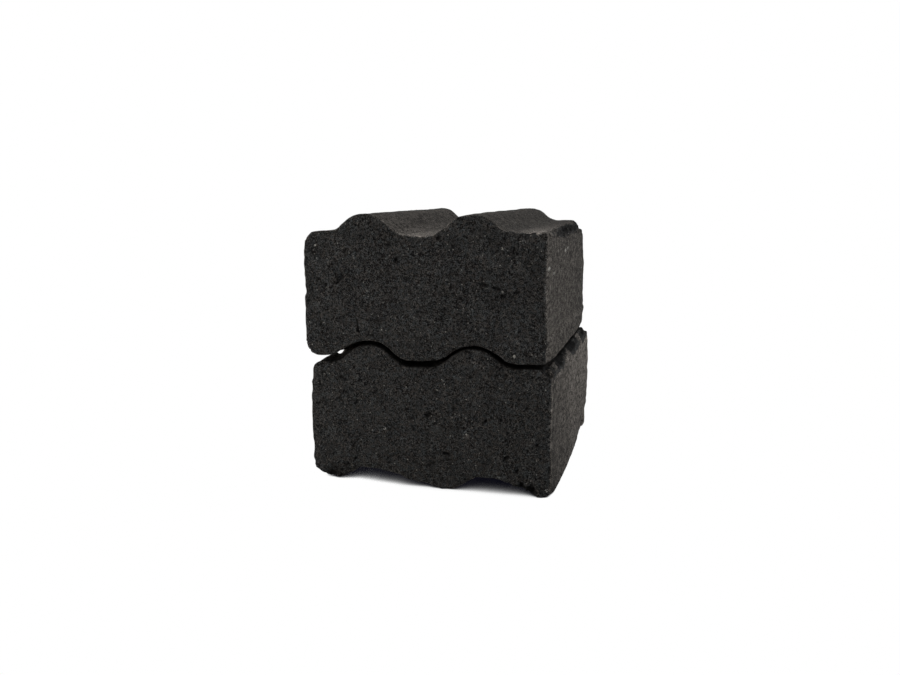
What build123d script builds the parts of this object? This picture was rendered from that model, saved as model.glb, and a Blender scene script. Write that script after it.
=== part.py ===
from build123d import *
from math import atan2, degrees, radians, tan
import os

# Two loose blocks of pressed charcoal, lying one on the other with their waves nested.
# Millimetres. X runs across the flutes, Y along them into the depth, Z is up.
# The origin is the middle of the stack's footprint, on the surface it stands on.

# One block
BLOCK_WIDTH = 35.0
BLOCK_DEPTH = 39.5
BLOCK_THICKNESS = 18.0  # from the side lands below to the side lands on top
END_ROUND = 0.4  # wear of the edges all round both end faces

# The pressed wave: two crests with a valley between them and a land on each side
CREST_SPACING = 15.4
CREST_RISE = 2.35  # from the side lands to the top of a crest
CROWN_WIDTH = 3.2  # between the corners that a crest is rounded from
FLANK_SLOPE = 38.0  # degrees from level
TOP_VALLEY_DIP = 0.5  # how far the valley on top lies below the side lands
UNDER_VALLEY_DIP = 0.2  # the same under the upper block, where the ridge stands down
CREST_ROUND = 3.6
FOOT_ROUND = 4.0
TOP_WAVE_OFFSET = -0.55  # from the upper block's middle to the middle of its top wave

# How the blocks lie
NEST_GAP = 0.3  # upright clearance between the two nested waves
SHIFT_X = 0.93  # how far the lower block stands out to the right of the upper one
SHIFT_Y = 0.55  # how far the lower block stands out to the front of the upper one
NEST_WAVE_X = -0.66  # middle of the nested waves, from the middle of the stack

# Corners of the upper block's outline
UPPER_LEFT_TOP_ROUND = 1.5
UPPER_LEFT_FOOT_ROUND = 1.6
UPPER_RIGHT_ROUND = 0.5

# Corners of the lower block's outline
LOWER_LEFT_ROUND = 2.0
LOWER_RIGHT_TOP_BEVEL = 0.9
LOWER_RIGHT_FOOT_ROUND = 0.5

# Worn underside of the lower block: a foot at each side, one in the middle, arches between
ARCH_RISE = 2.2
UNDERSIDE_ROUND = 3.0
LEFT_FOOT_WIDTH = 4.6  # from the block's left side to the start of the left arch
LEFT_ARCH_CROWN = 3.6
MIDDLE_FOOT_OFFSET = 1.9  # of the middle foot, from the block's middle
MIDDLE_FOOT_WIDTH = 1.8
RIGHT_FOOT_WIDTH = 2.6
RIGHT_ARCH_CROWN = 3.0
RIGHT_ARCH_LEAN = -0.5  # of the right arch's crown, from midway between its feet
LEFT_ARCH_SLOPE = 52.0  # degrees from level, at the left foot

# A fillet takes at most this share of the shorter run beside it
RUN_SHARE = 0.48

UPPER_X = -SHIFT_X / 2
LOWER_X = SHIFT_X / 2
UPPER_Y = SHIFT_Y / 2
LOWER_Y = -SHIFT_Y / 2
LOWER_TOP_Z = BLOCK_THICKNESS
UPPER_FOOT_Z = LOWER_TOP_Z + NEST_GAP
UPPER_TOP_Z = UPPER_FOOT_Z + BLOCK_THICKNESS


def wave(middle, land_z, dip):
    """Corners of a pressed wave from left to right, each as x, z and its rounding."""
    flank = tan(radians(FLANK_SLOPE))
    crown_z = land_z + CREST_RISE
    valley_z = land_z - dip
    outer_foot = CROWN_WIDTH / 2 + CREST_RISE / flank
    inner_foot = CROWN_WIDTH / 2 + (CREST_RISE + dip) / flank
    left = middle - CREST_SPACING / 2
    right = middle + CREST_SPACING / 2
    return [
        (left - outer_foot, land_z, FOOT_ROUND),
        (left - CROWN_WIDTH / 2, crown_z, CREST_ROUND),
        (left + CROWN_WIDTH / 2, crown_z, CREST_ROUND),
        (left + inner_foot, valley_z, FOOT_ROUND),
        (right - inner_foot, valley_z, FOOT_ROUND),
        (right - CROWN_WIDTH / 2, crown_z, CREST_ROUND),
        (right + CROWN_WIDTH / 2, crown_z, CREST_ROUND),
        (right + outer_foot, land_z, FOOT_ROUND),
    ]


def worn_underside():
    """Corners of the lower block's underside from left to right, on the ground at its feet."""
    left_foot = LOWER_X - BLOCK_WIDTH / 2 + LEFT_FOOT_WIDTH
    left_crown = left_foot + ARCH_RISE / tan(radians(LEFT_ARCH_SLOPE))
    middle_foot = LOWER_X + MIDDLE_FOOT_OFFSET
    right_foot = LOWER_X + BLOCK_WIDTH / 2 - RIGHT_FOOT_WIDTH
    right_crown = (middle_foot + MIDDLE_FOOT_WIDTH / 2 + right_foot) / 2 + RIGHT_ARCH_LEAN
    return [
        (left_foot, 0, UNDERSIDE_ROUND),
        (left_crown, ARCH_RISE, UNDERSIDE_ROUND),
        (left_crown + LEFT_ARCH_CROWN, ARCH_RISE, UNDERSIDE_ROUND),
        (middle_foot - MIDDLE_FOOT_WIDTH / 2, 0, UNDERSIDE_ROUND),
        (middle_foot + MIDDLE_FOOT_WIDTH / 2, 0, UNDERSIDE_ROUND),
        (right_crown - RIGHT_ARCH_CROWN / 2, ARCH_RISE, UNDERSIDE_ROUND),
        (right_crown + RIGHT_ARCH_CROWN / 2, ARCH_RISE, UNDERSIDE_ROUND),
        (right_foot, 0, UNDERSIDE_ROUND),
    ]


def fitted_rounding(before, corner, after):
    """A corner's rounding, made smaller where its neighbouring runs are too short for it."""
    run_in = Vector(corner[0] - before[0], corner[1] - before[1])
    run_out = Vector(after[0] - corner[0], after[1] - corner[1])
    half_turn = radians(run_in.get_angle(run_out)) / 2
    return min(corner[2], RUN_SHARE * min(run_in.length, run_out.length) / tan(half_turn))


def pressed_block(corners, middle_y):
    """A block with this outline, along the flutes, with its end edges worn round."""
    neighbours = zip(corners[-1:] + corners[:-1], corners, corners[1:] + corners[:1])
    roundings = [fitted_rounding(*three) for three in neighbours]
    outline = FilletPolyline(*[(x, z) for x, z, _ in corners], radius=roundings, close=True)
    section = Plane.XZ * make_face(outline)
    block = Pos(0, middle_y, 0) * extrude(section, BLOCK_DEPTH / 2, both=True)
    ends = block.faces().sort_by(Axis.Y)
    return fillet(ends[0].edges() + ends[-1].edges(), END_ROUND)


def upper_block():
    left = UPPER_X - BLOCK_WIDTH / 2
    right = UPPER_X + BLOCK_WIDTH / 2
    top = wave(UPPER_X + TOP_WAVE_OFFSET, UPPER_TOP_Z, TOP_VALLEY_DIP)
    corners = [
        (left, UPPER_FOOT_Z, UPPER_LEFT_FOOT_ROUND),
        *wave(NEST_WAVE_X, UPPER_FOOT_Z, UNDER_VALLEY_DIP),
        (right, UPPER_FOOT_Z, UPPER_RIGHT_ROUND),
        (right, UPPER_TOP_Z, UPPER_RIGHT_ROUND),
        *reversed(top),
        (left, UPPER_TOP_Z, UPPER_LEFT_TOP_ROUND),
    ]
    return pressed_block(corners, UPPER_Y)


def lower_block():
    left = LOWER_X - BLOCK_WIDTH / 2
    right = LOWER_X + BLOCK_WIDTH / 2
    corners = [
        (left, 0, LOWER_LEFT_ROUND),
        *worn_underside(),
        (right, 0, LOWER_RIGHT_FOOT_ROUND),
        (right, LOWER_TOP_Z, LOWER_RIGHT_TOP_BEVEL),
        *reversed(wave(NEST_WAVE_X, LOWER_TOP_Z, TOP_VALLEY_DIP)),
        (left, LOWER_TOP_Z, LOWER_LEFT_ROUND),
    ]
    return pressed_block(corners, LOWER_Y)


os.makedirs("parts", exist_ok=True)
for name, make in {"upper_block": upper_block, "lower_block": lower_block}.items():
    piece = make()
    piece.label = name
    export_step(piece, f"parts/{name}.step")
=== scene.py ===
from math import radians
from types import SimpleNamespace

import bpy
import numpy as np
from mathutils import Matrix, Vector


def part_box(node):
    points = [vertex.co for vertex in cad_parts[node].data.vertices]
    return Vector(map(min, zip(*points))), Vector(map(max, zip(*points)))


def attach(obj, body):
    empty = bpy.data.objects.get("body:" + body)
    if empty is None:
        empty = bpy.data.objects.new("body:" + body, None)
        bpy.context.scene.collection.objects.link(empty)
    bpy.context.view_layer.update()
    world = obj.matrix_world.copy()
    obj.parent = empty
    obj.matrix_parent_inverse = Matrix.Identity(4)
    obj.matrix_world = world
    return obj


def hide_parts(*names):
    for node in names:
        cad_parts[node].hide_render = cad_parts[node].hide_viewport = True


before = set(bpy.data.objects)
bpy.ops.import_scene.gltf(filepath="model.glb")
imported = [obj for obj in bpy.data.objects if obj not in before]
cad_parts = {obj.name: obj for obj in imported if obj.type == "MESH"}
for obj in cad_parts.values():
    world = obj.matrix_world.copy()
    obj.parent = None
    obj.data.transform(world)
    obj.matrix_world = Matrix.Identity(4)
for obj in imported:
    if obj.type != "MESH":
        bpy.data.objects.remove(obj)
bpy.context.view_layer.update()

MM = 0.001
BODIES = {"upper_block": "upper", "lower_block": "lower"}

# The blocks, in mm
BLOCK_WIDTH = 35.0
LAND_HEIGHT = 18.0  # of the flat lands beside a block's top wave
CAD_END_ROUND = 0.4  # of the CAD blocks' end edges
RING_TOLERANCE = 0.01
END_ROUND = 0.2  # of the worn blocks' end edges

# The grid that the worn blocks are carved in, in mm
FINE_STEP = 0.2
DEEP_STEP = 0.56  # along the flutes, away from the ends
FINE_DEPTH = 1.6
MARGIN = 1.0

# Where a block's parts begin and end: shares of its height or width, then mm up or across
TOP_PART = (0.55, 0.85)
RIGHT_PART = (0.6, 1.0)
NEST_ON_TOP = (0.7, 0.9)  # the face that lies in the gap, on top of a block
NEST_UNDER = (0.2, 0.1)  # and under one
FOOT_PART = (6, 1.5)
BULGE_UP = (0.5, 4)
BULGE_ACROSS = (6, 0)

# Bumps of the random relief: their size each way in mm, and how high they stand on end and pressed faces
FINE_CELLS = (0.45, 0.45, 0.45)
COARSE_CELLS = (1.2, 1.2, 1.2)
BROAD_CELLS = (6, 9, 5)
END_RELIEF = (0.035, 0.03)  # fine and coarse
SIDE_RELIEF = (0.018, 0.02)
BROAD_RELIEF = 0.02
MOST_PROUD = 0.07  # mm that the relief may stand above the sound face
EDGE_REACH = 0.4
EDGE_WEAR = (0.02, 0.07, 0.05)  # off the end edges: even, coarse and fine

# Wear and lightness of each block. Places are in mm across, deep and up from the low front left corner of its
# box. A profile is a row of places along one axis and a row of the values there. Lightness has no unit.
#   side_flare    how far the right side stands out at the back
#   foot          the heights between which the right side becomes its foot, and the foot's profile, by depth
#   foot_drift    how far the arches under the block lie to the right, by place across
#   top_drift     how far the top's outline lies to the right at the back, by place across
#   top_rise      how much higher the top is at the back, by place across
#   side_bulge    how far the left side stands out
#   mouth         how much wider the gap is at its ends, by place across
#   bevel         how far the broken right edge is cut back, by depth, or None where it is sound
#   worn_corners  worn long edges: (across, up), reach, how much is off in front, depth at which it dies away
#   crumbled      crumbled zones: middle, reach each way, how much is off, and how dark the break is
#   grooves       grooves: both ends and radius
#   nodules       round lumps: middle and radius
#   strokes       pits and cracks in the front face: (across, up) of both ends, and radius
#   specks        pale grains in the front face: (across, up) and radius
#   side_specks   pale grains in the right side: (deep, up) and radius
#   side_tone     lightness of the sides, by depth, and side_up by height
#   top_tone      lightness of the top, by depth, and top_across by place across
#   lip           how much lighter the front lips of the valleys on top are, by place across
#    edge_highlight  painted highlight: how much lighter the right side is along its front edge
WEAR = {
    "upper_block": {
        "side_flare": 0.33,
        "foot": (3.3, 3.9, (0.0, 40.0), (0.3, 0.6)),
        "foot_drift": ((0.0, 35.0), (0.0, 0.0)),
        "top_drift": ((0.0, 9.2, 12.5, 27.5, 34.0, 35.0), (0.0, 0.0, -0.35, 0.75, 0.05, 0.0)),
        "top_rise": ((0.0, 6.0, 9.2, 24.6, 32.0, 35.0), (-0.35, -0.3, 0.0, 0.0, 0.3, 0.3)),
        "side_bulge": 0.05,
        "mouth": (
            (
                0.0, 2.9, 3.9, 4.5, 5.3, 6.1, 6.9, 7.6, 11.0, 13.6,
                16.1, 18.1, 20.2, 22.4, 24.5, 27.4, 30.2, 32.2, 35.0,
            ),
            (
                0.0, 0.09, 0.28, 0.45, 0.5, 0.42, 0.35, 0.3, 0.25, 0.05,
                0.0, 0.07, 0.25, 0.15, 0.0, 0.1, 0.15, 0.25, 0.35,
            ),
        ),
        "bevel": None,
        "worn_corners": [((0.0, 18.2), 3.0, 0.3, 99), ((0.2, 0.0), 2.0, 0.2, 99)],
        "crumbled": [
            ((35.1, 23.0, 18.0), (1.5, 22.0, 1.6), 0.9, 0.5),
            ((35.2, 38.5, 18.4), (2.6, 5.5, 2.6), 1.1, 0.6),
            ((31.5, 0.0, 18.2), (3.2, 0.9, 0.7), 0.45, 1.0),
            ((35.0, 0.0, 2.2), (0.8, 0.9, 2.8), 0.45, 1.0),
            ((0.2, 0.0, 1.5), (0.8, 0.8, 1.2), 0.25, 1.0),
        ],
        "grooves": [
            ((5.44, -0.30, 1.06), (3.22, 4.90, -0.02), 0.24),
            ((5.88, -0.30, 1.25), (3.68, 4.90, 0.18), 0.22),
            ((6.34, -0.30, 1.46), (4.17, 4.90, 0.40), 0.19),
        ],
        "nodules": [],
        "strokes": [
            ((5.2, 11.4), (5.8, 11.8), 0.28),
            ((5.0, 10.9), (5.3, 11.1), 0.2),
            ((7.5, 11.5), (7.8, 11.6), 0.2),
            ((3.2, 10.5), (3.4, 10.7), 0.2),
            ((8.0, 5.7), (8.0, 4.9), 0.13),
            ((8.0, 4.9), (8.2, 4.0), 0.16),
            ((15.9, 4.5), (16.4, 4.0), 0.12),
            ((16.4, 4.0), (17.0, 3.3), 0.14),
            ((12.7, 16.2), (13.1, 16.7), 0.2),
            ((13.8, 14.3), (14.2, 14.7), 0.2),
            ((13.3, 10.3), (13.9, 10.4), 0.18),
            ((9.3, 7.8), (9.8, 7.6), 0.17),
            ((19.9, 17.2), (20.2, 17.6), 0.24),
            ((26.3, 11.3), (27.0, 11.1), 0.2),
            ((27.6, 10.9), (28.6, 10.6), 0.2),
            ((28.9, 9.7), (29.3, 9.7), 0.26),
            ((30.6, 10.2), (31.3, 10.3), 0.2),
        ],
        "specks": [
            ((1.9, 16.2), 0.22), ((11.5, 4.5), 0.24), ((10.2, 6.6), 0.2), ((14.2, 4.2), 0.22),
            ((13.7, 6.2), 0.18), ((30.7, 1.5), 0.28), ((29.0, 16.1), 0.24), ((26.9, 10.8), 0.22),
            ((29.0, 10.2), 0.24), ((10.8, 16.6), 0.2), ((34.4, 1.9), 0.2), ((34.9, 3.6), 0.22),
        ],
        "side_specks": [
            ((1.6, 13.4), 0.28), ((16.8, 14.8), 0.3), ((19.5, 15.0), 0.24), ((5.8, 12.4), 0.22),
            ((9.9, 15.2), 0.2), ((35.9, 10.5), 0.28), ((12.9, 12.0), 0.18),
        ],
        "side_tone": ((0.0, 40.0), (1.0, 0.8)),
        "side_up": ((0.0, 20.0), (1.0, 1.0)),
        "top_tone": ((0.0, 40.0), (0.79, 0.79)),
        "top_across": ((0.0, 23.0, 27.0, 32.0, 35.0), (1.08, 1.08, 0.7, 0.82, 1.0)),
        "lip": (
            (9.0, 13.0, 16.0, 19.0, 23.0, 26.0, 30.0, 31.5, 33.0, 35.0),
            (0.0, 0.1, 1.0, 0.85, 0.5, 0.0, 0.2, 1.1, 1.6, 1.8),
        ),
        "edge_highlight": 0.1,
    },
    "lower_block": {
        "side_flare": 0.55,
        "foot": (
            1.5, 6.0, (0.0, 2.2, 5.0, 13.0, 21.0, 28.0, 32.7, 35.5, 37.0, 40.0),
            (0.0, 0.25, 0.4, 0.55, 0.48, 0.3, 0.0, 0.02, 0.2, 0.2),
        ),
        "foot_drift": ((0.0, 15.0, 19.0, 27.0, 33.0, 35.0), (0.0, 0.0, 0.6, 0.6, 0.1, 0.0)),
        "top_drift": ((0.0, 26.0, 34.0, 35.0), (0.0, 0.0, 0.45, 0.5)),
        "top_rise": ((0.0, 35.0), (0.0, 0.0)),
        "side_bulge": 0.15,
        "mouth": (
            (0.0, 1.4, 2.5, 3.5, 5.3, 6.1, 6.9, 9.0, 33.0, 34.5),
            (0.1, 0.3, 0.43, 0.38, 0.29, 0.31, 0.2, 0.0, 0.0, 0.1),
        ),
        "bevel": ((0.0, 10.0, 21.0, 30.0, 36.0, 40.0), (1.25, 1.34, 1.1, 0.95, 1.1, 1.65)),
        "worn_corners": [((0.6, 0.0), 2.6, 0.45, 99), ((35.2, 0.0), 1.8, 0.35, 3)],
        "crumbled": [
            ((3.2, 0.0, 0.2), (5.5, 2.2, 1.6), 0.75, 1.0),
            ((31.2, 0.0, 0.7), (3.6, 1.5, 1.6), 0.65, 1.0),
            ((35.2, 36.3, 0.7), (1.2, 1.2, 1.2), 0.8, 1.0),
        ],
        "grooves": [
            ((3.35, 3.0, 18.92), (0.25, 10.3, 17.42), 0.67),
            # along the break's upper edge, under the upper block's side: its pit mark is painted shade
            ((33.95, -0.3, 18.1), (33.95, 39.6, 18.1), 0.36),
        ],
        "nodules": [((34.35, 1.4, 17.15), 0.75)],
        "strokes": [
            ((4.3, 15.5), (5.2, 15.5), 0.18),
            ((4.2, 14.7), (4.6, 15.3), 0.16),
            ((3.7, 12.0), (4.9, 13.3), 0.13),
            ((4.9, 13.3), (5.1, 13.8), 0.16),
            ((6.9, 11.9), (7.0, 12.1), 0.26),
            ((15.1, 9.1), (15.5, 8.5), 0.17),
            ((17.4, 10.6), (17.9, 10.9), 0.26),
            ((19.9, 5.3), (20.6, 5.2), 0.24),
            ((30.3, 3.4), (30.5, 3.7), 0.22),
            ((28.7, 5.2), (29.1, 5.5), 0.24),
            ((28.1, 10.6), (28.1, 10.8), 0.22),
            ((25.8, 10.3), (26.0, 10.5), 0.22),
            ((33.1, 7.4), (33.2, 7.6), 0.2),
            ((6.5, 3.4), (6.7, 3.6), 0.22),
            ((5.0, 2.3), (5.4, 2.6), 0.22),
            ((34.9, 1.5), (34.9, 4.5), 0.16),
            ((2.8, 1.9), (4.7, 1.5), 0.18),
            ((4.9, 1.9), (6.6, 1.75), 0.15),
            ((16.4, 0.6), (17.6, 0.35), 0.2),
            ((17.6, 0.3), (19.2, 0.1), 0.18),
            ((21.6, 0.65), (22.6, 1.0), 0.16),
            ((30.2, 1.5), (31.0, 1.6), 0.13),
        ],
        "specks": [
            ((19.0, 14.4), 0.26), ((29.8, 17.4), 0.24), ((11.1, 8.3), 0.2), ((34.6, 1.1), 0.3),
            ((11.2, 9.9), 0.2), ((20.0, 15.3), 0.2), ((23.2, 8.3), 0.22),
        ],
        "side_specks": [],
        "side_tone": (
            (0.0, 16.0, 19.0, 22.0, 25.0, 31.0, 35.0, 40.0),
            (0.68, 1.11, 1.45, 1.53, 1.4, 1.48, 1.5, 1.76),
        ),
        "side_up": ((2.0, 4.0, 8.5, 12.5, 16.0), (0.8, 0.86, 1.0, 1.16, 1.18)),
        # painted shade of the gap under the upper block: the lower top is dark all over and near black within
        # 1.5 mm of each end
        "top_tone": ((0.0, 1.5, 4.0, 36.0, 38.5, 40.0), (0.05, 0.05, 0.5, 0.5, 0.05, 0.05)),
        "top_across": ((0.0, 35.0), (1.0, 1.0)),
        "lip": ((0.0, 35.0), (0.0, 0.0)),
        "edge_highlight": 0.9,
    },
}

# Wear that both blocks share, in mm
NEST_SHARPER = 0.6  # how much sharper the end edges are in the gap
NEST_SOUNDER = 0.8  # how much less they are rubbed there
ON_END = (-0.1, 0.1)  # how much nearer the end face than the outline a point is where it turns to end grain
ON_END_NESTED = 0.1  # how much further it comes in the gap
PIT_EDGE = (1.3, 0.5)  # radii of a pit between which its mark fades in
LINE_REACH = 2.5  # radii round a line that the grid is searched in
BALL_REACH = 1.6  # and round a ball's middle
HOLLOW = (0.05, 0.5)  # depths under the sound face between which a break turns dark: partly painted shade in the hollow, partly the break's own darker colour
BREAK_DEEPEST = 0.35  # under the break's surface, for the middle of a loose grain
ZONE_EDGE = (1, 0.5)  # shares of its reach between which a crumbled zone sets in
ZONE_UNEVEN = 0.1
ZONE_SOUND = 0.2  # the part of a zone that is broken less than this share is sound
CRUMBLED_SKIN = 1.5  # the depth that a crumbled zone is marked to
MOUTH_DEEP = 4.0  # how far into the gap its ends are worn open
GRAINS_PER_POINT = 0.025  # loose grains in a crumbled zone, for each point of the grid
GRAIN_RADII = (0.15, 0.45)
STROKE_SUNK = 0.3  # radii that a stroke's line lies behind the face
SPECK_EDGE = (1.25, 0.4)  # radii of a speck between which it fades in
SIDE_SPECK_EDGE = (1.4, 0.5)
SIDE_SPECK_STRETCH = (1.5, 4, 1)
CRUMB_CELLS = (0.8, 0.8, 0.8)
CRUMB_PROUD = 0.15  # how far the middle of a loose grain may stand out of the break
SPRAY_COUNT = 60  # small random pits in each end face
SPRAY_TILT = (radians(50), radians(30))  # mean and spread
SPRAY_HALF = (0.05, 0.35)
SPRAY_RADII = (0.1, 0.16)

# The broken right edge, in mm
BEVEL_WAVES = ((5, 2.5, 5), 0.15)  # the size each way of a kind of bump, and how much it changes the cut
BEVEL_CRUMBS = ((0.9, 0.9, 0.9), 0.1)
BEVEL_LUMPS = ((1.2, 2.0, 1.2), 0.22)
LUMP_SEED_STEP = 11  # from the block's seed to that of its lumps
LEAST_BEVEL = 0.4
BEVEL_REACH = (4, 12)  # it lies within this of the right side, and above this height
BEVEL_GRAINS = 70
BEVEL_EDGE = (-0.3, 0.05)  # how far the break cuts under the sound face where its look sets in and is whole
BEVEL_BROKEN = 0.6  # the share of that look from which loose grains lie in it
BEVEL_PROUD = 0.0  # how far the middle of a loose grain may stand out of the break
BEVEL_ROUGH = (0.75, 0.35, 0.3)  # mean, change with the lumps, and least
BEVEL_DARK = (0.45, 0.45, 17.2)  # mean, change with the lumps, and the height from which it grows darker towards the gap: painted shade in the break
BEVEL_SHADE = 0.15

# Lightness of places on the blocks. A band is how far in from a face it lies and how wide it is, in mm.
# A light that comes and goes has a mean and a change with the bumps.
LIP = ((0.0, 5.0, 10.0, 15.0, 20.0, 26.0), (2.1, 1.8, 1.1, 0.6, 0.3, 0.0))  # of a valley's lip, by depth
ON_TOP = (0.5, 1.2, 9)  # mm in from the sides between which the top's tone sets in, and mm up
NODULE_TONE = 1.0
NODULE_SKIN = (0.2, 0.05)  # mm off a nodule between which its mark fades in
NODULE_BROKEN = 0.2
NODULE_FACES = (0.6, -0.7, 0.4)  # the way that the middle of its ring faces
RING_IN, RING_OUT = (0.62, 0.7), (0.9, 0.84)  # how squarely the ring's two edges face that way
RING_DARK = 0.8
# Where the painted highlight along the end edges lies, and how it comes and goes
RIM_BAND, RIM_UNEVEN = (0.15, 0.3), (0.6, 0.7)
RIM_HIGHLIGHT = 0.7  # painted highlight along the end edges
RIM_FROM = 4.8  # mm up
# Where the painted highlight along the sides' front edges lies, and how it comes and goes
EDGE_BAND, EDGE_UNEVEN = (0.5, 0.6), (0.8, 0.5)
FRONT_PART = 20  # mm deep
BEVEL_BAND, BEVEL_UNEVEN = (0.2, 0.25), (0.5, 0.7)
BEVEL_LIGHT = 0.8  # of the break's lower edge
TOP_DRAWN = 0.35  # how much weaker the drawn streaks are on top of a block

# The material
END_LIGHT = 0.0168  # how light the ends are where no texture lightens or darkens them
SIDE_LIGHT = 0.034  # and the pressed faces
END_ROUGH = 1.0
SIDE_ROUGH = 0.85
BROKEN_ROUGH = 0.9
ROUGH_UNEVEN = 0.25
IOR = 1.1
COOL, WARM = (0.93, 1.0, 1.04, 1), (1.07, 0.99, 0.93, 1)  # between these the grains of an end differ
PRESSED_TINT = (1.1, 1.0, 0.9, 1)
PALE_COLOUR = (0.21, 0.205, 0.19, 1)
PALE_SHARE = 0.8  # of that colour in the palest grain
CRUMBLED_UNEVEN, CRUMBLED_SETS_IN = 1.2, (0.4, 0.6)  # how ragged a mark's edge is, and where it sets in
PIT_UNEVEN, PIT_SETS_IN = 1.5, (0.3, 0.6)
SPECK_UNEVEN, SPECK_SETS_IN = 1.4, (0.4, 0.65)
MARKS = ("on_end", "pit", "crumbled", "speck", "tone", "drawn")

# The material's textures: bumps for each mm, each way
DRAWN = {"dash": (1.7, 0.75, 1.7), "patch": (0.6, 0.14, 0.7), "drag": (0.1, 0.35, 0.09)}
SMEAR = (0.5, 2.0, 2.4)
SMEAR_TURN = radians(-35)
FINE_SCALE, MIDDLE_SCALE, CLOUD_SCALE, BUSY_SCALE = 7.5, 3.2, 0.35, 0.55
CELL_SCALE, CHIP_SCALE, SPOT_SCALE = 2.6, 1.7, 1.5
BUSY = (0.7, 1.15)  # how strong the grain is in its quiet and busy parts
BUSY_EDGE = (0.35, 0.65)
CHIP_STRENGTH = 2.0
CHIP_RAGGED = 0.5
CHIP_EDGE = (0.2, 0.34)
SPOT_EDGE = (0.07, 0.17)
SPOT_RARITY = 0.5  # share of the cells that have no pale spot
SIDE_SPOT, END_SPOT = 0.9, 0.75

# How strongly the textures make the charcoal lighter and darker, and how high they stand
GRIT = {"fine": 12.5, "middle": 5.0, "cell": 1.0}
END_STREAKS = {"smear": 1.6, "cloud": 1.5}
SIDE_STREAKS = {"dash": 6.0, "patch": 1.5, "drag": 0.4}
CONTRAST = 0.6
DARKEST = 0.12
# How much the pit mark darkens: painted shade in pits, cracks, grooves and breaks
PIT_DARK = 0.85
END_BUMP = {"fine": 0.1, "middle": 0.15}
SIDE_BUMP = {"fine": 0.06, "middle": 0.12, "dash": 0.15}

# The floor, in metres. Its shadow is drawn from the share of the sky that a point of the floor sees.
FLOOR_HALF = 2
FLOOR_COLOUR = (0.8, 0.8, 0.8, 1)
WHITE = (1, 1, 1, 1)
SHADOW_COLOUR = (0.002, 0.002, 0.005, 1)
SHADOW_REACH = 0.006  # how near something has to be to hide the sky
SHADOW_SAMPLES = 24
SHADOW_DARK = 0.09  # the share at which the shadow is darkest
SHADOW_CLEAR = 0.555  # the share at which the shadow ends
SHADOW_CLEAR_LEFT = 0.26
SHADOW_LEFT = (-0.0105, -0.0035)  # the places across between which the left end's share becomes the middle's
SHADOW_RIGHT = (0.0165, 0.0185)  # the places across between which the share falls
SHADOW_RIGHT_FALL = 0.255
SHADOW_DEEPENS = 1.4  # the power that the brightness in the shadow is raised to

# Light. A lamp's place and width are in metres, and its power is in watts.
WORLD_LIGHT = 0.45  # on the blocks, where 1 is white
LAMP_TARGET = (0, 0, 0.02)
LAMPS = {
    "key": ((0.1, 0.3, 0.55), 0.3, 2.6, (1, 1, 1)),
    "side": ((0.25, -0.03, 0.03), 0.08, 0.243, (1, 1, 1)),
    "fill": ((-0.13, -0.12, 0.03), 0.05, 0.24, (1, 0.96, 0.9)),
}

# The camera: place, lens and film in mm, and how far it is turned left, tipped down and rolled, in degrees
CAMERA_PLACE = (34.318, -129.866, 41.889)
CAMERA_TURN = (15.517, 9.927, -0.24)
LENS = 33.68
SENSOR = 36
CLIP_START = 0.005


def block_box(node):
    """Lowest and highest corner of a CAD node in mm."""
    low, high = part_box(node)
    return np.array(low) / MM, np.array(high) / MM


def cad_outline(node):
    """The block's outline across the flutes in mm, in order round it, from the ring behind its end edge."""
    points = np.array([vertex.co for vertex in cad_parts[node].data.vertices]) / MM
    ring_y = points[:, 1].min() + CAD_END_ROUND
    ring = points[np.abs(points[:, 1] - ring_y) < RING_TOLERANCE][:, [0, 2]]
    ring = np.unique(ring.round(3), axis=0)
    spokes = ring - (ring.min(0) + ring.max(0)) / 2
    return ring[np.argsort(np.arctan2(spokes[:, 1], spokes[:, 0]))]


def section_distance(outline, x, z):
    """Signed distance in mm from the outline at every x and z, negative inside."""
    px, pz = np.meshgrid(x, z, indexing="ij")
    distance = np.full(px.shape, np.inf)
    inside = np.zeros(px.shape, bool)
    for (ax, az), (bx, bz) in zip(outline, np.roll(outline, -1, axis=0)):
        run_x, run_z = bx - ax, bz - az
        share = ((px - ax) * run_x + (pz - az) * run_z) / (run_x**2 + run_z**2)
        share = np.clip(share, 0, 1)
        distance = np.minimum(distance, np.hypot(px - ax - share * run_x, pz - az - share * run_z))
        if az != bz:
            inside ^= ((az > pz) != (bz > pz)) & (px < ax + (pz - az) * run_x / run_z)
    return np.where(inside, -distance, distance)


def spline_weights(axis, cell):
    """Cubic B-spline weights of random numbers that lie one cell apart, for each place on an axis."""
    place = (axis - axis[0]) / cell
    first = np.floor(place).astype(int)
    t = place - first
    rows = np.arange(len(axis))
    weights = np.zeros((len(axis), first.max() + 4))
    weights[rows, first] = (1 - t) ** 3 / 6
    weights[rows, first + 1] = (3 * t**3 - 6 * t**2 + 4) / 6
    weights[rows, first + 2] = (-3 * t**3 + 3 * t**2 + 3 * t + 1) / 6
    weights[rows, first + 3] = t**3 / 6
    return weights


def noise(rng, axes, cells):
    """Smooth noise of unit spread on a grid, with bumps about one cell across along each axis."""
    weights = [spline_weights(axis, cell) for axis, cell in zip(axes, cells)]
    values = rng.normal(size=[w.shape[1] for w in weights])
    values = np.einsum("ai,bj,ck,ijk->abc", *weights, values, optimize=True)
    return values / values.std()


def smoothstep(low, high, value):
    """0 up to low and 1 from high on, with a smooth rise between."""
    t = np.clip((value - low) / (high - low), 0, 1)
    return t * t * (3 - 2 * t)


def band(past, inward, width):
    """1 that far inward of a face, and next to nothing beyond about twice the width either side."""
    return np.exp(-(((past + inward) / width) ** 2))


def falling(high, low, value):
    """1 down from low and 0 from high on, with a smooth fall between."""
    return 1 - smoothstep(low, high, value)


def faded(distance, radius, edge):
    """1 near the middle of a mark, and 0 outside it. The edge is in radii, outer before inner."""
    return falling(radius * edge[0], radius * edge[1], distance)


def uneven(bumps, mean, spread):
    """A strength between none and double, that comes and goes with the bumps."""
    return np.clip(mean + spread * bumps, 0, 2)


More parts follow.
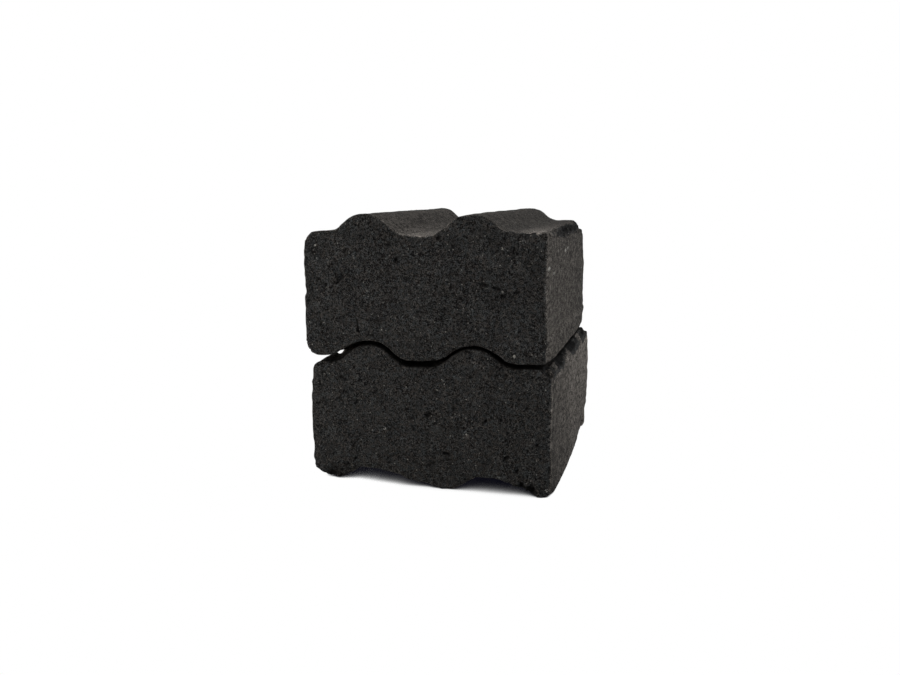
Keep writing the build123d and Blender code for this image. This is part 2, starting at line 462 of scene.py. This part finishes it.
def grid_axes(low, high):
    """x, y and z of the grid that a block is carved in, finer in y near both end faces."""
    x = np.arange(low[0] - MARGIN, high[0] + MARGIN, FINE_STEP)
    z = np.arange(low[2] - MARGIN, high[2] + MARGIN, FINE_STEP)
    front = np.arange(low[1] - MARGIN, low[1] + FINE_DEPTH, FINE_STEP)
    back = np.arange(high[1] - FINE_DEPTH, high[1] + MARGIN, FINE_STEP)
    deep_steps = round((back[0] - front[-1]) / DEEP_STEP)
    deep = np.linspace(front[-1], back[0], deep_steps + 1)[1:-1]
    return x, np.concatenate([front, deep, back]), z


def near(axes, low, high):
    """The part of the grid between two corners: its slices, and its x, y and z ready to combine."""
    spans = [slice(*np.searchsorted(axis, (a, b))) for axis, a, b in zip(axes, low, high)]
    return tuple(spans), np.ix_(*(axis[span] for axis, span in zip(axes, spans)))


def line_distance(places, start, end):
    """Distance from the line between two points."""
    run = end - start
    share = sum((place - a) * r for place, a, r in zip(places, start, run)) / max(run @ run, 1e-9)
    share = np.clip(share, 0, 1)
    return np.sqrt(sum((place - a - share * r) ** 2 for place, a, r in zip(places, start, run)))


def carve_line(field, pit, axes, start, end, radius):
    """Cut a round groove along a line, and mark it as a pit, which the material darkens as painted shade."""
    reach = radius * LINE_REACH
    box, places = near(axes, np.minimum(start, end) - reach, np.maximum(start, end) + reach)
    distance = line_distance(places, start, end)
    field[box] = np.maximum(field[box], radius - distance)
    pit[box] = np.maximum(pit[box], faded(distance, radius, PIT_EDGE))


def settle(field, axes, centre, radius):
    """Add a round grain to the field."""
    box, places = near(axes, centre - radius * BALL_REACH, centre + radius * BALL_REACH)
    ball = np.sqrt(sum((place - c) ** 2 for place, c in zip(places, centre))) - radius
    field[box] = np.minimum(field[box], ball)


def ring_nodule(marks, axes, centre, radius):
    """Mark a nodule's surface: light, with a dark ring round the side that faces out and forward."""
    box, places = near(axes, centre - radius * BALL_REACH, centre + radius * BALL_REACH)
    away = [place - c for place, c in zip(places, centre)]
    distance = np.sqrt(sum(a**2 for a in away))
    on_it = falling(radius + NODULE_SKIN[0], radius + NODULE_SKIN[1], distance)
    facing = sum(part * a for part, a in zip(NODULE_FACES, away)) / np.maximum(distance, 0.1)
    dark = smoothstep(*RING_IN, facing) * falling(*RING_OUT, facing)
    marks["crumbled"][box] = np.where(on_it > 0.5, NODULE_BROKEN, marks["crumbled"][box])
    marks["dull"][box] = np.maximum(marks["dull"][box], on_it)
    marks["pit"][box] = marks["pit"][box] * (1 - on_it) + on_it * RING_DARK * dark


def hollow(sound):
    """How dark a broken surface is, by how far it lies under the sound one: partly painted shade in the
    hollow, partly the break's own darker colour.
    """
    return smoothstep(*HOLLOW, -sound)


def strewn(rng, broken, sound, zone, axes, count, proud):
    """The broken surface with round grains left lying in it where the sound block was."""
    spots = np.argwhere(zone & (broken > -BREAK_DEEPEST) & (broken < proud))
    result = broken.copy()
    for spot in rng.permutation(spots)[:count]:
        centre = np.array([axis[i] for axis, i in zip(axes, spot)])
        settle(result, axes, centre, rng.uniform(*GRAIN_RADII))
    return np.maximum(result, sound)


def crumble(rng, field, marks, axes, middle, reach, depth, dark):
    """Break a zone's surface back, and leave round grains in it."""
    box, places = near(axes, middle - reach, middle + reach)
    away = np.sqrt(sum(((place - m) / r) ** 2 for place, m, r in zip(places, middle, reach)))
    local = [axis[span] for axis, span in zip(axes, box)]
    away = away + ZONE_UNEVEN * noise(rng, local, CRUMB_CELLS)
    zone = falling(*ZONE_EDGE, away)
    sound = field[box].copy()
    broken = sound + depth * zone
    count = int(GRAINS_PER_POINT * (zone > ZONE_SOUND).sum())
    field[box] = strewn(rng, broken, sound, zone > ZONE_SOUND, local, count, CRUMB_PROUD)
    marks["crumbled"][box] = np.maximum(marks["crumbled"][box], zone * (sound > -CRUMBLED_SKIN))
    marks["pit"][box] = np.maximum(marks["pit"][box], zone * hollow(sound) * dark)


def spray(rng, field, pit, grid):
    """Cut small pits at random in both end faces."""
    for face_y in (grid.low[1], grid.high[1]):
        for _ in range(SPRAY_COUNT):
            middle = rng.uniform(grid.low, grid.high) * (1, 0, 1) + (0, face_y, 0)
            tilt = rng.normal(*SPRAY_TILT)
            half = rng.uniform(*SPRAY_HALF) * np.array([np.cos(tilt), 0, np.sin(tilt)])
            carve_line(field, pit, grid.axes, middle - half, middle + half, rng.uniform(*SPRAY_RADII))


def speckle(speck, axes, centre, radius, edge, stretch=(1, 1, 1)):
    """Mark a pale grain, stretched each way."""
    reach = (1, stretch[1], 1)
    box, places = near(axes, centre - reach, centre + reach)
    distance = np.sqrt(sum(((place - c) / s) ** 2 for place, c, s in zip(places, centre, stretch)))
    speck[box] = np.maximum(speck[box], faded(distance, radius, edge))


def surface(field):
    """Vertices, and the quads round them, of the surface where the field crosses zero, by surface nets."""
    inside = field < 0
    spans = [
        tuple(slice(c, n - 1 + c) for c, n in zip(corner, field.shape))
        for corner in np.ndindex(2, 2, 2)
    ]
    filled = sum(inside[span].astype(np.int8) for span in spans)
    mixed = (filled > 0) & (filled < len(spans))
    cubes = np.argwhere(mixed)
    number = np.full(mixed.shape, -1)
    number[mixed] = np.arange(len(cubes))
    places = np.zeros((len(cubes), 3))
    crossings = np.zeros((len(cubes), 1))
    quads = []
    for axis in range(3):
        step = np.eye(3, dtype=int)[axis]
        side_a, side_b = np.eye(3, dtype=int)[[axis - 2, axis - 1]]
        for offset in (0 * step, side_a, side_b, side_a + side_b):
            start = cubes + offset
            low, high = field[tuple(start.T)], field[tuple((start + step).T)]
            crossed = (low < 0) != (high < 0)
            share = np.where(crossed, low / np.where(crossed, low - high, 1), 0)
            places += crossed[:, None] * (start + share[:, None] * step)
            crossings += crossed[:, None]
        first, second = [slice(1, -1)] * 3, [slice(1, -1)] * 3
        first[axis], second[axis] = slice(0, -1), slice(1, None)
        edges = np.argwhere(inside[tuple(first)] != inside[tuple(second)]) + 1 - step
        outward = inside[tuple(edges.T)]
        around = [number[tuple((edges - back).T)] for back in (0 * step, side_a, side_a + side_b, side_b)]
        around = np.stack(around, axis=1)
        quads.append(np.where(outward[:, None], around, around[:, ::-1]))
    return places / crossings, np.concatenate(quads)


def sampled(field, points):
    """The field's value at points given in grid steps."""
    first = np.clip(np.floor(points).astype(int), 0, np.array(field.shape) - 2)
    t = points - first
    value = 0
    for corner in np.ndindex(2, 2, 2):
        share = np.prod(np.where(corner, t, 1 - t), axis=1)
        value = value + share * field[tuple((first + corner).T)]
    return value


def meshed(name, field, axes, attributes):
    """A smooth mesh in metres round the field's inside, with the attributes' values at its vertices."""
    points, quads = surface(field)
    places = [np.interp(points[:, k], np.arange(len(axis)), axis) for k, axis in enumerate(axes)]
    mesh = bpy.data.meshes.new(name)
    mesh.from_pydata(np.stack(places, axis=1) * MM, [], quads.tolist())
    for key, values in attributes.items():
        values = sampled(np.broadcast_to(values, field.shape), points)
        mesh.attributes.new(key, "FLOAT", "POINT").data.foreach_set("value", values.astype(np.float32))
    mesh.polygons.foreach_set("use_smooth", np.ones(len(mesh.polygons), bool))
    mesh.update()
    piece = bpy.data.objects.new(name, mesh)
    bpy.context.scene.collection.objects.link(piece)
    return piece


def warped(section, axes, shift_x, shift_z):
    """The section's distance at every point of the grid, after its outline moves by the shifts there."""
    x, _, z = axes
    size = np.broadcast(shift_x, shift_z, x[:, None, None], z[None, None, :]).shape
    along = np.broadcast_to((x[:, None, None] - shift_x - x[0]) / FINE_STEP, size)
    up = np.broadcast_to((z[None, None, :] - shift_z - z[0]) / FINE_STEP, size)
    i = np.clip(np.floor(along).astype(int), 0, len(x) - 2)
    k = np.clip(np.floor(up).astype(int), 0, len(z) - 2)
    s, t = along - i, up - k
    low = section[i, k] * (1 - t) + section[i, k + 1] * t
    high = section[i + 1, k] * (1 - t) + section[i + 1, k + 1] * t
    return low * (1 - s) + high * s


def block_grid(node):
    """A block's box and grid, the places in it, how far they are past its ends, and its nested face."""
    low, high = block_box(node)
    axes = x, y, z = grid_axes(low, high)
    up = (z - low[2])[None, None, :]
    if node == "lower_block":
        nested = smoothstep(*NEST_ON_TOP, up / LAND_HEIGHT)
    else:
        nested = falling(*NEST_UNDER, up / LAND_HEIGHT)
    return SimpleNamespace(
        low=low,
        high=high,
        size=high - low,
        axes=axes,
        across=(x - low[0])[:, None, None],
        deep=(y - low[1])[None, :, None],
        up=up,
        past_end=(np.abs(y - (low[1] + high[1]) / 2) - (high[1] - low[1]) / 2)[None, :, None],
        nested=nested,
    )


def outline_shift(grid, wear):
    """How far the worn block's outline lies to the right of the CAD block's and above it, at each place."""
    back = grid.deep / grid.size[1]
    top = smoothstep(*TOP_PART, grid.up / grid.size[2])
    right = smoothstep(*RIGHT_PART, grid.across / grid.size[0])
    foot_low, foot_high, *foot = wear["foot"]
    flare = wear["side_flare"] * back
    flare = flare + (np.interp(grid.deep, *foot) - flare) * falling(foot_high, foot_low, grid.up)
    drift = np.interp(grid.across, *wear["top_drift"]) * top
    bulge = wear["side_bulge"] * (1 - right) * smoothstep(*BULGE_UP, grid.up) * (1 - top)
    shift_x = back * drift + flare * right * (1 - top) - bulge * falling(*BULGE_ACROSS, grid.across)
    shift_x = shift_x + np.interp(grid.across, *wear["foot_drift"]) * falling(*FOOT_PART, grid.up)
    return shift_x, back * np.interp(grid.across, *wear["top_rise"]) * top


def rounded_ends(grid, section):
    """The distance field of the outline cut off at both ends, with round end edges."""
    edge_round = END_ROUND * (1 - NEST_SHARPER * grid.nested)
    over_side, over_end = section + edge_round, grid.past_end + edge_round
    corner = np.hypot(np.maximum(over_side, 0), np.maximum(over_end, 0))
    return np.minimum(np.maximum(over_side, over_end), 0) + corner - edge_round


def roughened(grid, wear, field, section, on_end, fine, coarse, broad):
    """The field with its long edges worn, a random relief on its faces, and its end edges rubbed."""
    for (across, up), reach, depth, far in wear["worn_corners"]:
        away = np.hypot(grid.across - across, grid.up - up)
        field = field + depth * falling(reach, 0, away) * falling(far, 0, grid.deep)
    end_relief = END_RELIEF[0] * fine + END_RELIEF[1] * coarse
    side_relief = SIDE_RELIEF[0] * fine + SIDE_RELIEF[1] * coarse
    relief = on_end * end_relief + (1 - on_end) * side_relief
    field = field + np.maximum(relief + BROAD_RELIEF * broad, -MOST_PROUD)
    edge = np.exp(-(section**2 + grid.past_end**2) / EDGE_REACH**2)
    even, by_coarse, by_fine = EDGE_WEAR
    rubbed = np.maximum(even + by_coarse * coarse + by_fine * fine, 0)
    return field + edge * rubbed * (1 - NEST_SOUNDER * grid.nested)


def bevelled(rng, seed, grid, wear, shift_x, field, marks, coarse):
    """The field with its upper right edge broken back, where it is broken, and the light along the break."""
    x, _, z = grid.axes
    size, lumpy = BEVEL_LUMPS
    lumps = noise(np.random.default_rng(seed + LUMP_SEED_STEP), grid.axes, size)
    size, wavy = BEVEL_WAVES
    cut = np.interp(grid.deep, *wear["bevel"]) + wavy * noise(rng, grid.axes, size) - lumpy * lumps
    size, crumbly = BEVEL_CRUMBS
    cut = cut + crumbly * noise(rng, grid.axes, size)
    over = (x[:, None, None] - shift_x - grid.high[0]) + (z[None, None, :] - (grid.low[2] + LAND_HEIGHT))
    break_face = (over + np.maximum(cut, LEAST_BEVEL)) / 2**0.5
    across_reach, up_from = BEVEL_REACH
    right = (x > grid.high[0] - across_reach)[:, None, None] & (z > grid.low[2] + up_from)[None, None, :]
    zone = np.where(right, smoothstep(*BEVEL_EDGE, break_face - field), 0)
    mean, change, least = BEVEL_ROUGH
    marks["crumbled"] = np.maximum(marks["crumbled"], zone * np.clip(mean - change * lumps, least, 1))
    # Darker between the lumps and towards the top, next to the gap: painted shade
    mean, change, dark_from = BEVEL_DARK
    dark = np.clip(mean - change * lumps + (grid.up - dark_from), 0, 1)
    marks["pit"] = np.maximum(marks["pit"], zone * hollow(field) * dark)
    light = BEVEL_LIGHT * band(break_face, *BEVEL_BAND) * uneven(coarse, *BEVEL_UNEVEN) * right
    broken = np.where(right, np.maximum(field, break_face), field)
    field = strewn(rng, broken, field, zone > BEVEL_BROKEN, grid.axes, BEVEL_GRAINS, BEVEL_PROUD)
    return field, zone, light


def carve_places(rng, grid, wear, field, marks):
    """Carve the wear that lies at chosen places, and mark it."""
    for middle, radius in wear["nodules"]:
        settle(field, grid.axes, grid.low + middle, radius)
        ring_nodule(marks, grid.axes, grid.low + middle, radius)
    for middle, reach, depth, dark in wear["crumbled"]:
        crumble(rng, field, marks, grid.axes, grid.low + middle, np.array(reach), depth, dark)
    for start, end, radius in wear["grooves"]:
        carve_line(field, marks["pit"], grid.axes, grid.low + start, grid.low + end, radius)
    for (ax, az), (bx, bz), radius in wear["strokes"]:
        sunk = STROKE_SUNK * radius
        start, end = grid.low + (ax, sunk, az), grid.low + (bx, sunk, bz)
        carve_line(field, marks["pit"], grid.axes, start, end, radius)
    for (across, up), radius in wear["specks"]:
        speckle(marks["speck"], grid.axes, grid.low + (across, 0, up), radius, SPECK_EDGE)
    for (deep, up), radius in wear["side_specks"]:
        centre = grid.low + (BLOCK_WIDTH, deep, up)
        speckle(marks["speck"], grid.axes, centre, radius, SIDE_SPECK_EDGE, SIDE_SPECK_STRETCH)


def toned(grid, wear, marks, on_top, bevel_zone, bevel_light, fine, coarse):
    """How light the charcoal is at each place, apart from its grain, with painted highlights along its edges
    and painted shade on the lower block's top.
    """
    side = np.interp(grid.deep, *wear["side_tone"]) * np.interp(grid.up, *wear["side_up"])
    # Painted highlight on the sides along their front edges
    edge = wear["edge_highlight"] * band(grid.past_end, *EDGE_BAND)
    edge = edge * (grid.deep < FRONT_PART) * uneven(fine, *EDGE_UNEVEN)
    top = np.interp(grid.deep, *wear["top_tone"]) * np.interp(grid.across, *wear["top_across"])
    top = top * (1 + np.interp(grid.across, *wear["lip"]) * np.interp(grid.deep, *LIP))
    tone = side * (1 + (edge + bevel_light)) * (1 - on_top) + top * on_top
    # Painted highlight along the end edges, away from the gap
    rim_highlight = band(grid.past_end, *RIM_BAND) * (1 - grid.nested) * (grid.up > RIM_FROM)
    rim_highlight = rim_highlight * uneven(coarse, *RIM_UNEVEN) * RIM_HIGHLIGHT
    tone = tone * (1 - BEVEL_SHADE * bevel_zone) * (1 + rim_highlight)
    return tone * (1 - marks["dull"]) + NODULE_TONE * marks["dull"]


def block(node, seed):
    """A block's worn mesh, with the marks that its material reads."""
    grid = block_grid(node)
    axes = x, _, z = grid.axes
    wear = WEAR[node]
    rng = np.random.default_rng(seed)
    shift_x, shift_z = outline_shift(grid, wear)
    section = warped(section_distance(cad_outline(node), x, z), axes, shift_x, shift_z)
    mouth = np.interp(grid.across, *wear["mouth"]) * grid.nested * band(grid.past_end, 0, MOUTH_DEEP)
    section = section + mouth
    field = rounded_ends(grid, section)
    on_end = smoothstep(*ON_END, grid.past_end - section + ON_END_NESTED * grid.nested)
    fine, coarse, broad = (noise(rng, axes, size) for size in (FINE_CELLS, COARSE_CELLS, BROAD_CELLS))
    field = roughened(grid, wear, field, section, on_end, fine, coarse, broad)
    marks = {key: np.zeros(field.shape) for key in ("pit", "crumbled", "dull", "speck")}
    bevel_zone, bevel_light = 0.0, 0.0
    if wear["bevel"]:
        field, bevel_zone, bevel_light = bevelled(rng, seed, grid, wear, shift_x, field, marks, coarse)
    carve_places(rng, grid, wear, field, marks)
    spray(rng, field, marks["pit"], grid)
    field = np.maximum(field, -grid.up)
    outer, inner, up_from = ON_TOP
    from_left = smoothstep(outer, inner, grid.across)
    on_top = from_left * smoothstep(outer, inner, grid.size[0] - grid.across) * (grid.up > up_from)
    attributes = {
        "on_end": on_end,
        "tone": toned(grid, wear, marks, on_top, bevel_zone, bevel_light, fine, coarse),
        "pit": marks["pit"],
        "crumbled": marks["crumbled"],
        "speck": marks["speck"],
        "drawn": 1 - TOP_DRAWN * on_top,
    }
    return meshed(node + "_charcoal", field, axes, attributes)


def add(tree, kind, values=None, **settings):
    """A new shader node, with its settings made and its inputs linked or set."""
    node = tree.nodes.new("ShaderNode" + kind)
    for key, value in settings.items():
        setattr(node, key, value)
    for key, value in (values or {}).items():
        if isinstance(value, bpy.types.NodeSocket):
            tree.links.new(value, node.inputs[key])
        else:
            node.inputs[key].default_value = value
    return node


def calc(tree, operation, *values):
    """The result of a maths node."""
    return add(tree, "Math", dict(enumerate(values)), operation=operation).outputs[0]


def total(tree, *values):
    """The sum of the values."""
    result = values[0]
    for value in values[1:]:
        result = calc(tree, "ADD", result, value)
    return result


def centred(tree, value, amount):
    """A value that runs about one half, as that much about zero."""
    return calc(tree, "MULTIPLY", calc(tree, "SUBTRACT", value, 0.5), amount)


def weighted(tree, texture, amounts):
    """The named textures, each as that much about zero."""
    return [centred(tree, texture[name], amount) for name, amount in amounts.items()]


def blended(tree, factor, low, high):
    """Low where the factor is 0 and high where it is 1."""
    return add(tree, "Mix", {"Factor": factor, "A": low, "B": high}).outputs["Result"]


def mixed_colour(tree, factor, low, high):
    """The colour low where the factor is 0 and high where it is 1."""
    return add(tree, "Mix", {"Factor": factor, "A": low, "B": high}, data_type="RGBA").outputs["Result"]


def stepped(tree, value, low, high):
    """0 up to low and 1 from high on, with a smooth rise between."""
    values = {"Value": value, "From Min": low, "From Max": high}
    return add(tree, "MapRange", values, interpolation_type="SMOOTHSTEP").outputs["Result"]


def scaled(tree, vector, factor):
    """The vector times the factor."""
    return add(tree, "VectorMath", {0: vector, "Scale": factor}, operation="SCALE").outputs["Vector"]


def grain(tree, at, scale, detail=1.0):
    """Soft noise with that many bumps for each mm."""
    return add(tree, "TexNoise", {"Vector": at, "Scale": scale, "Detail": detail}).outputs["Fac"]


def drawn(tree, at, scales, turn=0.0):
    """Soft noise drawn out or pressed together each way, turned about the flutes."""
    turned = add(tree, "VectorRotate", {"Vector": at, "Angle": turn}, rotation_type="Y_AXIS").outputs[0]
    place = add(tree, "VectorMath", {0: turned, 1: scales}, operation="MULTIPLY").outputs["Vector"]
    return grain(tree, place, 1.0)


def cells(tree, at, scale):
    """Random cells: the distance from their middles, and each one's own random red, green and blue."""
    node = add(tree, "TexVoronoi", {"Vector": at, "Scale": scale})
    return node.outputs["Distance"], add(tree, "SeparateColor", {"Color": node.outputs["Color"]}).outputs


def textures(tree, at):
    """The noises and cells that the charcoal's looks are made of."""
    texture = {
        "fine": grain(tree, at, FINE_SCALE),
        "middle": grain(tree, at, MIDDLE_SCALE, 2.0),
        "cloud": grain(tree, at, CLOUD_SCALE, 2.0),
        "smear": drawn(tree, at, SMEAR, SMEAR_TURN),
    }
    for name, scales in DRAWN.items():
        texture[name] = drawn(tree, at, scales)
    _, pick = cells(tree, at, CELL_SCALE)
    texture["cell"], texture["hue"] = pick["Red"], pick["Green"]
    return texture


def chips(tree, at, texture):
    """Flat chips, some lighter and some darker than what lies round them."""
    distance, pick = cells(tree, at, CHIP_SCALE)
    distance = calc(tree, "ADD", distance, centred(tree, texture["middle"], CHIP_RAGGED))
    inside = calc(tree, "SUBTRACT", 1.0, stepped(tree, distance, *CHIP_EDGE))
    return calc(tree, "MULTIPLY", inside, centred(tree, pick["Red"], CHIP_STRENGTH))


def lightness(tree, at, texture, mark):
    """How light the charcoal is, about 1, from its grain, chips and streaks, and the painted shade in its
    pits.
    """
    busy = blended(tree, stepped(tree, grain(tree, at, BUSY_SCALE), *BUSY_EDGE), *BUSY)
    grit = total(tree, *weighted(tree, texture, GRIT), chips(tree, at, texture))
    on_end = total(tree, calc(tree, "MULTIPLY", grit, busy), *weighted(tree, texture, END_STREAKS))
    along = total(tree, *weighted(tree, texture, SIDE_STREAKS))
    on_side = calc(tree, "MULTIPLY_ADD", along, mark["drawn"], grit)
    amount = blended(tree, mark["broken"], on_side, on_end)
    light = calc(tree, "MAXIMUM", calc(tree, "MULTIPLY_ADD", amount, CONTRAST, 1.0), DARKEST)
    # Painted shade in pits, cracks, grooves and breaks, from the pit mark
    pit = total(tree, mark["pit"], centred(tree, texture["fine"], PIT_UNEVEN))
    pit = stepped(tree, pit, *PIT_SETS_IN)
    return calc(tree, "MULTIPLY", light, calc(tree, "MULTIPLY_ADD", pit, -PIT_DARK, 1.0))


def pale_grains(tree, at, texture, mark):
    """1 on a pale grain: the marked ones, and random ones of differing strength."""
    distance, pick = cells(tree, at, SPOT_SCALE)
    spot = calc(tree, "SUBTRACT", 1.0, stepped(tree, distance, *SPOT_EDGE))
    spot = calc(tree, "MULTIPLY", spot, calc(tree, "GREATER_THAN", pick["Green"], SPOT_RARITY))
    spot = calc(tree, "MULTIPLY", spot, pick["Blue"])
    spot = calc(tree, "MULTIPLY", spot, blended(tree, mark["on_end"], SIDE_SPOT, END_SPOT))
    marked = total(tree, mark["speck"], centred(tree, texture["fine"], SPECK_UNEVEN))
    return calc(tree, "MAXIMUM", spot, stepped(tree, marked, *SPECK_SETS_IN))


def base_colour(tree, at, texture, mark):
    """The charcoal's colour: near black, browner where it was pressed, with pale grains."""
    light = lightness(tree, at, texture, mark)
    pale = pale_grains(tree, at, texture, mark)
    tint = mixed_colour(tree, mark["broken"], PRESSED_TINT, mixed_colour(tree, texture["hue"], COOL, WARM))
    side = calc(tree, "MULTIPLY", mark["tone"], SIDE_LIGHT)
    level = calc(tree, "MULTIPLY", light, blended(tree, mark["broken"], side, END_LIGHT))
    pale = calc(tree, "MULTIPLY", pale, PALE_SHARE)
    return mixed_colour(tree, pale, scaled(tree, tint, level), PALE_COLOUR)


def roughness(tree, texture, mark):
    """How dull the surface is: most on the ends and where it is broken."""
    rough = blended(tree, mark["on_end"], SIDE_ROUGH, END_ROUGH)
    rough = total(tree, rough, centred(tree, texture["middle"], ROUGH_UNEVEN))
    return calc(tree, "MAXIMUM", rough, calc(tree, "MULTIPLY", mark["crumbled"], BROKEN_ROUGH))


def bumped(tree, texture, mark):
    """The surface's normal with the grain standing out of it."""
    end_height = total(tree, *weighted(tree, texture, END_BUMP))
    side_height = total(tree, *weighted(tree, texture, SIDE_BUMP))
    height = blended(tree, mark["on_end"], side_height, end_height)
    return add(tree, "Bump", {"Height": height, "Distance": MM}).outputs["Normal"]


def charcoal():
    """Pressed charcoal: grainy and black on the ends and breaks, lighter and drawn on the pressed faces."""
    material = bpy.data.materials.new("pressed_charcoal")
    material.use_nodes = True
    tree = material.node_tree
    shader = tree.nodes["Principled BSDF"]
    at = scaled(tree, add(tree, "TexCoord").outputs["Object"], 1 / MM)
    mark = {name: add(tree, "Attribute", attribute_name=name).outputs["Fac"] for name in MARKS}
    texture = textures(tree, at)
    crumbled = total(tree, mark["crumbled"], centred(tree, texture["middle"], CRUMBLED_UNEVEN))
    mark["crumbled"] = stepped(tree, crumbled, *CRUMBLED_SETS_IN)
    mark["broken"] = calc(tree, "MAXIMUM", mark["on_end"], mark["crumbled"])
    tree.links.new(base_colour(tree, at, texture, mark), shader.inputs["Base Color"])
    tree.links.new(roughness(tree, texture, mark), shader.inputs["Roughness"])
    tree.links.new(bumped(tree, texture, mark), shader.inputs["Normal"])
    shader.inputs["IOR"].default_value = IOR
    return material


def blocks():
    """Both blocks, each in the place of its CAD node."""
    material = charcoal()
    for seed, (node, body) in enumerate(BODIES.items(), start=1):
        piece = block(node, seed)
        piece.data.materials.append(material)
        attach(piece, body)
        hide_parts(node)


def seen(tree):
    """1 for what the camera sees, straight or in a gloss or through glass, and 0 for light on the object."""
    path = add(tree, "LightPath").outputs
    rays = calc(tree, "MAXIMUM", path["Is Camera Ray"], path["Is Glossy Ray"])
    return calc(tree, "MAXIMUM", rays, path["Is Transmission Ray"])


def ranged(tree, value, start, end, low, high):
    """Low up to the start and high from the end on, with an even change between."""
    values = {"Value": value, "From Min": start, "From Max": end, "To Min": low, "To Max": high}
    return add(tree, "MapRange", values).outputs["Result"]


def shadow_colour(tree):
    """White, and nearly black where the blocks stand close over the floor."""
    across = add(tree, "SeparateXYZ", {0: add(tree, "TexCoord").outputs["Object"]}).outputs["X"]
    clear = ranged(tree, across, *SHADOW_LEFT, SHADOW_CLEAR_LEFT, SHADOW_CLEAR)
    clear = calc(tree, "SUBTRACT", clear, ranged(tree, across, *SHADOW_RIGHT, 0.0, SHADOW_RIGHT_FALL))
    sky = add(tree, "AmbientOcclusion", {"Distance": SHADOW_REACH}, samples=SHADOW_SAMPLES).outputs["AO"]
    shade = calc(tree, "POWER", ranged(tree, sky, SHADOW_DARK, clear, 0.0, 1.0), SHADOW_DEEPENS)
    return mixed_colour(tree, shade, SHADOW_COLOUR, WHITE)


def floor():
    """A pale floor that the camera sees as white, with the blocks' shadow."""
    corners = [(x * FLOOR_HALF, y * FLOOR_HALF, 0) for x, y in ((-1, -1), (1, -1), (1, 1), (-1, 1))]
    mesh = bpy.data.meshes.new("floor")
    mesh.from_pydata(corners, [], [(0, 1, 2, 3)])
    plane = bpy.data.objects.new("floor", mesh)
    bpy.context.scene.collection.objects.link(plane)
    material = bpy.data.materials.new("floor")
    material.use_nodes = True
    plane.data.materials.append(material)
    tree = material.node_tree
    tree.nodes.remove(tree.nodes["Principled BSDF"])
    plain = add(tree, "BsdfDiffuse", {"Color": FLOOR_COLOUR}).outputs[0]
    shown = add(tree, "Emission", {"Color": shadow_colour(tree), "Strength": 1.0}).outputs[0]
    mixed = add(tree, "MixShader", {0: seen(tree), 1: plain, 2: shown}).outputs[0]
    tree.links.new(mixed, tree.nodes["Material Output"].inputs["Surface"])


def studio():
    """Even light from all round, which the camera sees as white."""
    world = bpy.data.worlds.new("studio")
    bpy.context.scene.world = world
    world.use_nodes = True
    tree = world.node_tree
    background = tree.nodes["Background"]
    background.inputs["Color"].default_value = WHITE
    tree.links.new(blended(tree, seen(tree), WORLD_LIGHT, 1.0), background.inputs["Strength"])


def area_light(name, place, width, power, colour):
    """A round lamp that points at the blocks, unseen by the camera."""
    light = bpy.data.lights.new(name, "AREA")
    light.shape = "DISK"
    light.size = width
    light.energy = power
    light.color = colour
    lamp = bpy.data.objects.new(name, light)
    lamp.location = place
    lamp.visible_camera = False
    lamp.rotation_euler = (Vector(LAMP_TARGET) - Vector(place)).to_track_quat("-Z", "Y").to_euler()
    bpy.context.scene.collection.objects.link(lamp)


def camera():
    """The camera where the photograph was taken from."""
    data = bpy.data.cameras.new("camera")
    data.sensor_width = SENSOR
    data.lens = LENS
    data.clip_start = CLIP_START
    eye = bpy.data.objects.new("camera", data)
    bpy.context.scene.collection.objects.link(eye)
    bpy.context.scene.camera = eye
    yaw, pitch, roll = (radians(angle) for angle in CAMERA_TURN)
    level = Matrix.Rotation(yaw, 4, "Z") @ Matrix.Rotation(radians(90) - pitch, 4, "X")
    eye.matrix_world = Matrix.Translation(Vector(CAMERA_PLACE) * MM) @ (level @ Matrix.Rotation(roll, 4, "Z"))


blocks()
floor()
studio()
for name, lamp in LAMPS.items():
    area_light(name, *lamp)
camera()
bpy.context.scene.view_settings.view_transform = "Standard"
